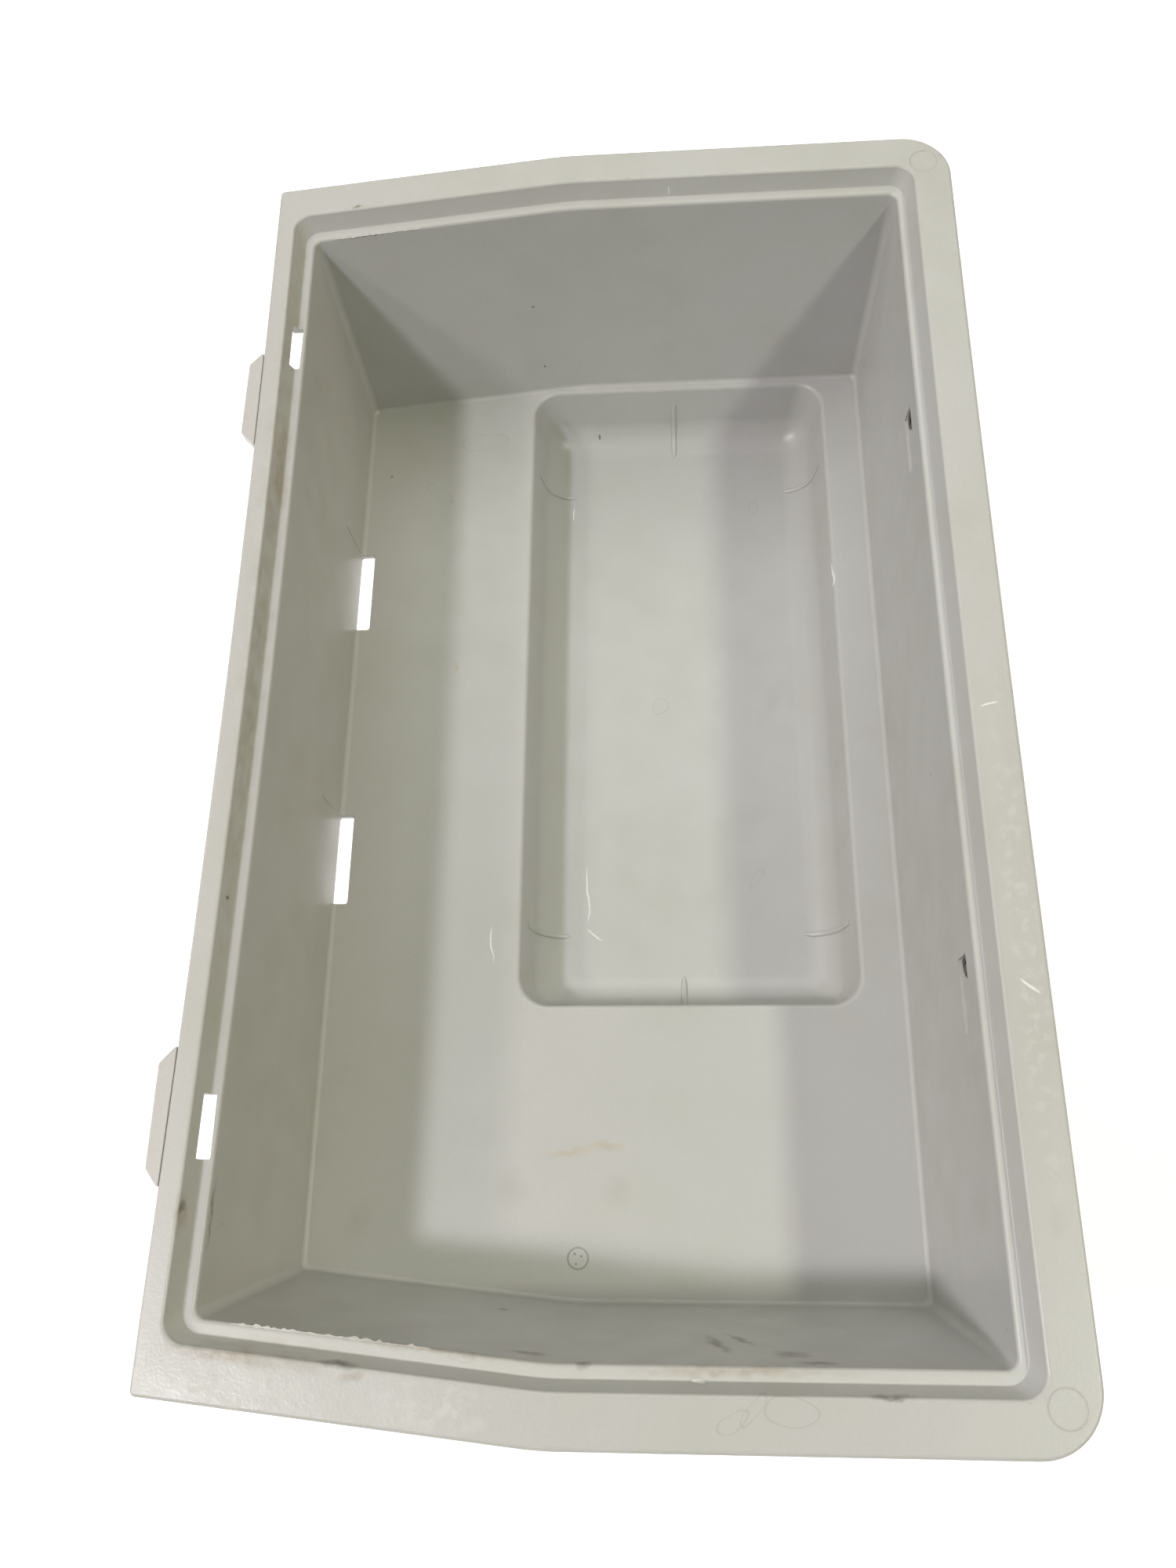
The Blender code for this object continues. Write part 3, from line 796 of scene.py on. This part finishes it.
def add(tree, kind, output, values=None, feeds=None, **properties):
    """Adds a node with its properties, its input values and what feeds it; gives one of its outputs."""
    node = tree.nodes.new("ShaderNode" + kind)
    for name, value in properties.items():
        setattr(node, name, value)
    for name, value in (values or {}).items():
        node.inputs[name].default_value = value
    for name, socket in (feeds or {}).items():
        tree.links.new(socket, node.inputs[name])
    return node.outputs[output]


def reach(tree, place, mark):
    """Distance from the middle of an oval mark, 1 at its edge.

    A mark is its middle (X and Y in the frame, height over the basin floor), its half sizes and its
    turns in degrees, all in millimetres.
    """
    (x, y, height), half_sizes, turns = mark
    middle = Vector((x * MM, y * MM, FLOOR_Z + height * MM))
    turn = Euler([math.radians(angle) for angle in turns])
    if any(turns):
        place = add(tree, "VectorRotate", "Vector", {"Center": middle, "Rotation": turn},
                    {"Vector": place}, rotation_type="EULER_XYZ", invert=True)
    shrink = Vector([1 / (half * MM) for half in half_sizes])
    local = add(tree, "VectorMath", "Vector", {1: shrink, 2: -middle * shrink}, {0: place},
                operation="MULTIPLY_ADD")
    return add(tree, "VectorMath", "Value", feeds={0: local}, operation="LENGTH")


def highest(tree, masks):
    """The highest of several masks at each point."""
    total = masks[0]
    for mask in masks[1:]:
        total = add(tree, "Math", "Value", feeds={0: total, 1: mask}, operation="MAXIMUM")
    return total


def patches(tree, place, marks, edge):
    """Mask of ovals that fade out over the outer share edge of their size."""
    return highest(tree, [
        add(tree, "MapRange", "Result", {"From Min": 1, "From Max": 1 - edge},
            {"Value": reach(tree, place, mark)}) for mark in marks])


def outlines(tree, place, marks, width):
    """Mask of the rims of ovals, lines of about this width in millimetres."""
    return highest(tree, [
        add(tree, "Math", "Value", {1: 1, 2: width / (mark[1][0] + mark[1][1])},
            {0: reach(tree, place, mark)}, operation="COMPARE") for mark in marks])


def strayed(tree, place, pattern, distance):
    """Places moved about by a colour pattern, up to half this distance each way."""
    start = add(tree, "VectorMath", "Vector", {1: (distance / 2,) * 3}, {0: place},
                operation="SUBTRACT")
    return add(tree, "VectorMath", "Vector", {1: (distance,) * 3}, {0: pattern, 2: start},
               operation="MULTIPLY_ADD")


def laid_over(tree, skin, mask, strength, colour):
    """The skin with dirt or wear of this colour on it, this strong where the mask is full."""
    cover = add(tree, "Math", "Value", {1: strength}, {0: mask}, operation="MULTIPLY")
    return add(tree, "Mix", 2, {7: linear(colour)}, {"Factor": cover, 6: skin}, data_type="RGBA")


def clouded_plastic(tree, place, blotch, colour):
    """The colour drifts a little over a hand's breadth, and in soft blotches the size of a coin."""
    cloud = add(tree, "TexNoise", "Fac", {"Scale": 1 / CLOUD_SIZE}, {"Vector": place})
    cloudy = add(tree, "MapRange", "Result", {"From Min": 0.35, "From Max": 0.75}, {"Value": cloud})
    blotchy = add(tree, "MapRange", "Result", {"From Min": 0.2, "From Max": 0.8}, {"Value": blotch})
    aged = add(tree, "Math", "Value", feeds={0: cloudy, 1: blotchy}, operation="MULTIPLY")
    return add(tree, "Mix", 2, {6: linear(colour), 7: linear(AGED)}, {"Factor": aged},
               data_type="RGBA")


def fold_shade_and_rebate_tint(tree, place, skin, folded, banded_noise):
    """Painted shade, made patchy, where the surface folds inwards, and a patchy brown tint along the lid
    rebate.
    """
    patchy = add(tree, "MapRange", "Result", {"From Min": 0.4, "From Max": 0.7}, {"Value": banded_noise})
    # Painted shade where the surface folds inwards, made patchy.
    corners = add(tree, "Math", "Value", feeds={0: folded, 1: patchy}, operation="MULTIPLY")
    skin = laid_over(tree, skin, corners, 0.3, GRIME_AND_FOLD_SHADE)
    # A patchy brown tint along the lid rebate.
    rebate_tint = patches(tree, place, REBATE_TINT, 0.5)
    rebate_tint = add(tree, "Math", "Value", feeds={0: rebate_tint, 1: patchy}, operation="MULTIPLY")
    return laid_over(tree, skin, rebate_tint, 0.35, BROWN)


def stained(tree, skin, place, wavering, ragged):
    """Stains, smudges and drawn loops that this tray has picked up, and the rings of its mould."""
    skin = laid_over(tree, skin, patches(tree, ragged, OCHRE_STAINS, 0.9), 0.35, OCHRE)
    skin = laid_over(tree, skin, patches(tree, ragged, SMUDGES, 0.9), 0.14, GRIME_AND_FOLD_SHADE)
    skin = laid_over(tree, skin, outlines(tree, wavering, LOOPS, 0.7), 0.13, SOIL)
    skin = laid_over(tree, skin, outlines(tree, place, [GATE_RING], 0.9), 0.45, GRIME_AND_FOLD_SHADE)
    skin = laid_over(tree, skin, outlines(tree, place, EJECTOR_RINGS, 1.2), 0.15, GRIME_AND_FOLD_SHADE)
    skin = laid_over(tree, skin, patches(tree, ragged, BROWN_STAINS, 0.8), 0.4, BROWN)
    return laid_over(tree, skin, patches(tree, ragged, SOIL_STREAKS, 0.8), 0.7, SOIL)


def specks_and_pocket_shade(tree, skin, place):
    """Dark specks: those seen on this tray and a few more in places picked at random; then painted shade,
    black, in the deep ends of the pockets.
    """
    cells = add(tree, "TexVoronoi", "Color", {"Scale": 1 / SPECK_SPACING}, {"Vector": place})
    distance = cells.node.outputs["Distance"]
    pick = add(tree, "SeparateXYZ", "X", feeds={"Vector": cells})
    rare = add(tree, "MapRange", "Result",
               {"From Min": SPECK_RARITY, "From Max": SPECK_RARITY + SPECK_SOFTNESS}, {"Value": pick})
    small = SPECK_RADIUS / SPECK_SPACING
    dot = add(tree, "MapRange", "Result", {"From Min": small, "From Max": small / 2},
              {"Value": distance})
    scattered = add(tree, "Math", "Value", feeds={0: rare, 1: dot}, operation="MULTIPLY")
    specks = highest(tree, [scattered, patches(tree, place, SPECKS, 0.3)])
    skin = laid_over(tree, skin, specks, 0.75, SOIL)
    # The deep ends of the pockets are painted black: painted shade.
    return laid_over(tree, skin, patches(tree, place, POCKET_END_SHADE, 0.05), 1, SHADE_BLACK)


def moulded_polypropylene(name, colour):
    """Grey polypropylene from a spark-eroded steel mould, used for years.

    To the eye it is a matt, slightly waxy skin with a fine even grain, a little clouded by age, with patchy
    painted shade in its corners, a patchy brown tint along the lid rebate, and pale rubbed places on the
    flange.
    """
    material = bpy.data.materials.new(name)
    material.use_nodes = True
    tree = material.node_tree
    shader = tree.nodes["Principled BSDF"]
    shader.inputs["IOR"].default_value = POLYPROPYLENE_IOR
    place = add(tree, "TexCoord", "Object")

    # Hand-drawn marks wander a little; spilled and rubbed ones are ragged.
    waver = add(tree, "TexNoise", "Color", {"Scale": 1 / WAVER_SIZE, "Detail": 1}, {"Vector": place})
    tatter = add(tree, "TexNoise", "Color", {"Scale": 1 / TATTER_SIZE}, {"Vector": place})
    wavering = strayed(tree, place, waver, WAVER_REACH)
    ragged = strayed(tree, place, tatter, TATTER_REACH)

    blotch = add(tree, "TexNoise", "Fac", {"Scale": 1 / BLOTCH_SIZE}, {"Vector": place})
    skin = clouded_plastic(tree, place, blotch, colour)

    # Painted shade where the AO node finds that the surface folds inwards; the pattern that breaks it up,
    # the rebate tint and the dents lies in low bands along the walls, so it is flatter than it is wide.
    fold = add(tree, "AmbientOcclusion", "AO", {"Distance": FOLD_REACH}, samples=2)
    folded = add(tree, "MapRange", "Result", {"From Min": 0.65, "From Max": 0.25}, {"Value": fold})
    flattened = add(tree, "Mapping", "Vector", {"Scale": (1, 1, 0.4)}, {"Vector": place},
                    vector_type="TEXTURE")
    banded_noise = add(tree, "TexNoise", "Fac", {"Scale": 1 / BANDED_NOISE_SIZE, "Detail": 3}, {"Vector": flattened})
    skin = fold_shade_and_rebate_tint(tree, place, skin, folded, banded_noise)
    skin = stained(tree, skin, place, wavering, ragged)

    # Rubbed places go pale and ragged, and scratches paler still.
    worn = patches(tree, place, SCUFFED_PLACES, 0.6)
    rubbed = add(tree, "MapRange", "Result", {"From Min": 0.5, "From Max": 0.64},
                 {"Value": tatter.node.outputs["Fac"]})
    scuffs = add(tree, "Math", "Value", feeds={0: worn, 1: rubbed}, operation="MULTIPLY")
    scratches = patches(tree, wavering, SCRATCHES, 0.4)
    skin = laid_over(tree, skin, scuffs, 0.3, WHITENED)
    skin = laid_over(tree, skin, scratches, 0.8, SCRATCHED)
    skin = specks_and_pocket_shade(tree, skin, place)

    # Spark-eroded grain is usually about 0.15 mm; it is drawn at GRAIN_SIZE so that it can be seen.
    grain = add(tree, "TexNoise", "Fac", {"Scale": 1 / GRAIN_SIZE, "Detail": 1}, {"Vector": place})
    coarse = add(tree, "MapRange", "Result", {"From Min": 0.4, "From Max": 0.8}, {"Value": grain})
    skin = laid_over(tree, skin, coarse, 0.35, AGED)
    tree.links.new(skin, shader.inputs["Base Color"])
    dents = add(tree, "Math", "Value", feeds={0: worn, 1: banded_noise}, operation="MULTIPLY")
    relief = add(tree, "Math", "Value", {1: DENT_HEIGHT / GRAIN_HEIGHT}, {0: dents, 2: grain},
                 operation="MULTIPLY_ADD")
    bumps = add(tree, "Bump", "Normal", {"Distance": GRAIN_HEIGHT}, {"Height": relief})
    tree.links.new(bumps, shader.inputs["Normal"])
    sheen = add(tree, "MapRange", "Result",
                {"From Min": 0.3, "From Max": 0.7, "To Min": WAXY_ROUGHNESS, "To Max": MATT_ROUGHNESS},
                {"Value": blotch})
    roughness = add(tree, "Math", "Value", {1: WORN_ROUGHENING},
                    {0: highest(tree, [scuffs, folded]), 2: sheen}, operation="MULTIPLY_ADD")
    tree.links.new(roughness, shader.inputs["Roughness"])
    return material


# ---------------------------------------------------------------- floor, lights and camera

def make_floor():
    """A plain pale floor, big enough to fill every view."""
    data = bpy.data.meshes.new("pale_floor")
    data.from_pydata([(x * FLOOR_HALF, y * FLOOR_HALF, 0) for x, y in ((-1, -1), (1, -1), (1, 1), (-1, 1))],
                     [], [(0, 1, 2, 3)])
    floor = link("pale_floor", data)
    material = bpy.data.materials.new("pale floor")
    material.use_nodes = True
    shader = material.node_tree.nodes["Principled BSDF"]
    shader.inputs["Base Color"].default_value = (0.75, 0.75, 0.75, 1)
    shader.inputs["Roughness"].default_value = 0.9
    shader.inputs["Specular IOR Level"].default_value = 0
    shader.inputs["Emission Color"].default_value = (1, 1, 1, 1)
    shader.inputs["Emission Strength"].default_value = 0.6
    floor.data.materials.append(material)
    floor.location.z = -FLOOR_CLEARANCE


def make_light(name, slope_x, slope_y, height, size, power, colour):
    """A square panel above the tray, facing its middle; the slopes are sideways shift per height."""
    data = bpy.data.lights.new(name, "AREA")
    data.shape = "SQUARE"
    data.size = size
    data.energy = power
    data.color = colour
    light = link(name, data)
    light.location = RIM_MIDDLE + Vector((slope_x, slope_y, 1)) * height
    light.rotation_euler = (light.location - RIM_MIDDLE).to_track_quat("Z", "Y").to_euler()


def make_glow(name, slope_x, slope_y, strength, colour):
    """Even light from a wide part of the room, centred where these slopes point."""
    data = bpy.data.lights.new(name, "SUN")
    data.angle = GLOW_SPREAD
    data.energy = strength
    data.color = colour
    glow = link(name, data)
    glow.location = RIM_MIDDLE + Vector((slope_x, slope_y, 1))
    glow.rotation_euler = Vector((slope_x, slope_y, 1)).to_track_quat("Z", "Y").to_euler()


def make_lights():
    """Two small panels at the left, one at the right, a wide one beyond, and a glow from both sides."""
    world = bpy.data.worlds.new("pale room")
    bpy.context.scene.world = world
    world.use_nodes = True
    world.node_tree.nodes["Background"].inputs["Color"].default_value = (1, 1, 1, 1)
    # The room is only seen behind the floor: the panels and the glow do all the lighting.
    world.cycles_visibility.diffuse = False
    world.cycles_visibility.glossy = False
    world.cycles_visibility.transmission = False
    world.cycles_visibility.scatter = False
    for panel in PANELS:
        make_light(*panel)
    for glow in GLOWS:
        make_glow(*glow)


def make_camera():
    """Looks down into the tray from above its near end."""
    data = bpy.data.cameras.new("camera")
    data.lens = CAMERA_LENS
    data.sensor_width = CAMERA_SENSOR
    camera = link("camera", data)
    camera.matrix_world = (Matrix.Translation(RIM_MIDDLE + CAMERA_OFFSET)
                           @ Matrix.Rotation(CAMERA_YAW, 4, "Z")
                           @ Matrix.Rotation(CAMERA_PITCH, 4, "X")
                           @ Matrix.Rotation(CAMERA_ROLL, 4, "Z"))
    bpy.context.scene.camera = camera


tray_plastic = moulded_polypropylene("grey moulded polypropylene", GREY)
catch_plastic = moulded_polypropylene("grey moulded polypropylene, catch", GREY_CATCH)
make_tray(tray_plastic)
make_ribs(tray_plastic)
make_fringes(tray_plastic)
for catch_name, catch_node, catch_y in zip(("catch_far", "catch_near"),
                                           ("edge_catch_far", "edge_catch_near"), CATCH_Y):
    make_catch(catch_name, catch_node, catch_y, catch_plastic)
make_floor()
make_lights()
make_camera()
bpy.context.scene.view_settings.view_transform = "Standard"
